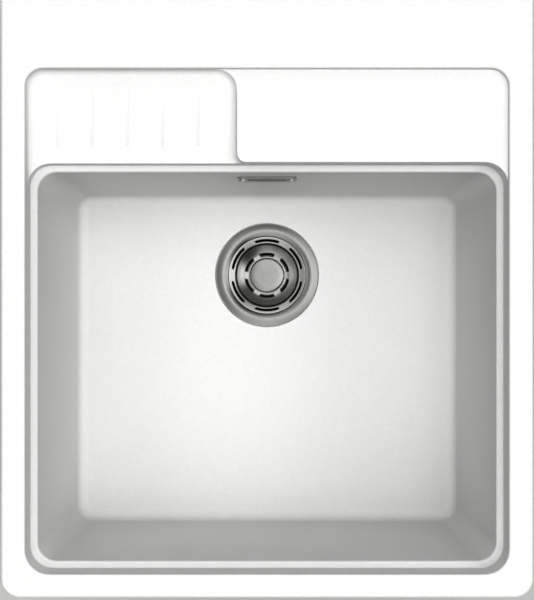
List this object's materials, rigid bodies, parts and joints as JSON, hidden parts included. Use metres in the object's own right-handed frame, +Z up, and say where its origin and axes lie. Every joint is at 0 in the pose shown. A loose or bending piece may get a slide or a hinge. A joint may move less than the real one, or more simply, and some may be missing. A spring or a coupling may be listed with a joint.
{
  "type": "kitchen sink with drainboard",
  "caption": "Inset kitchen sink with one deep bowl, a small ribbed drainboard, a lift-out basket strainer waste, an overflow piped to it and swivelling clips.",
  "frame": {"origin": "middle of the rim's outline, on the plane where the rim stands on the worktop", "axes": "+X to the right, +Y to the back where the tap stands, +Z up"},
  "size_m": [0.5, 0.58, 0.292],
  "materials": {
    "composite": "fine matt, moulded",
    "seal_foam": "matt foam",
    "black_plastic": "moulded",
    "white_plastic": "moulded",
    "bright_steel": "satin, pressed",
    "screw_steel": "plain",
    "clip_steel": "zinc plated",
    "brass_nut": "turned",
    "rubber_seal": "matt"
  },
  "bodies": {
    "sink": {"sink_body": "composite", "rim_seal": "seal_foam", "clip_inserts": "black_plastic", "clip_screws": "screw_steel", "waste_flange": "bright_steel", "flange_gasket": "rubber_seal", "waste_gasket": "rubber_seal", "waste_body": "white_plastic", "clamp_nut": "brass_nut", "clamp_screw": "screw_steel", "overflow_cover": "bright_steel", "overflow_screws": "screw_steel", "overflow_gasket": "rubber_seal", "overflow_housing": "white_plastic", "overflow_pipe": "white_plastic", "upper_pipe_nut": "white_plastic", "lower_pipe_nut": "white_plastic"},
    "strainer": {"basket": "bright_steel", "basket_knob": "bright_steel", "basket_stem": "black_plastic", "stopper_seal": "rubber_seal"},
    "left_clip": {"clip_left": "clip_steel"},
    "right_clip": {"clip_right": "clip_steel"},
    "front_left_clip": {"clip_front_left": "clip_steel"},
    "front_right_clip": {"clip_front_right": "clip_steel"},
    "back_left_clip": {"clip_back_left": "clip_steel"},
    "back_right_clip": {"clip_back_right": "clip_steel"}
  },
  "joints": [
    {"name": "strainer_lift", "type": "slide", "parent": "sink", "child": "strainer", "axis": [0, 0, 1], "range_m": [0, 0.25]},
    {"name": "left_clip_swivel", "type": "hinge", "parent": "sink", "child": "left_clip", "pos_m": [-0.233, -0.075, -0.026], "axis": [0, 0, -1], "range_deg": [0, 180]},
    {"name": "right_clip_swivel", "type": "hinge", "parent": "sink", "child": "right_clip", "pos_m": [0.233, -0.075, -0.026], "axis": [0, 0, -1], "range_deg": [0, 180]},
    {"name": "front_left_clip_swivel", "type": "hinge", "parent": "sink", "child": "front_left_clip", "pos_m": [-0.14, -0.273, -0.026], "axis": [0, 0, -1], "range_deg": [0, 180]},
    {"name": "front_right_clip_swivel", "type": "hinge", "parent": "sink", "child": "front_right_clip", "pos_m": [0.14, -0.273, -0.026], "axis": [0, 0, -1], "range_deg": [0, 180]},
    {"name": "back_left_clip_swivel", "type": "hinge", "parent": "sink", "child": "back_left_clip", "pos_m": [-0.14, 0.273, -0.026], "axis": [0, 0, -1], "range_deg": [0, 180]},
    {"name": "back_right_clip_swivel", "type": "hinge", "parent": "sink", "child": "back_right_clip", "pos_m": [0.14, 0.273, -0.026], "axis": [0, 0, -1], "range_deg": [0, 180]}
  ]
}
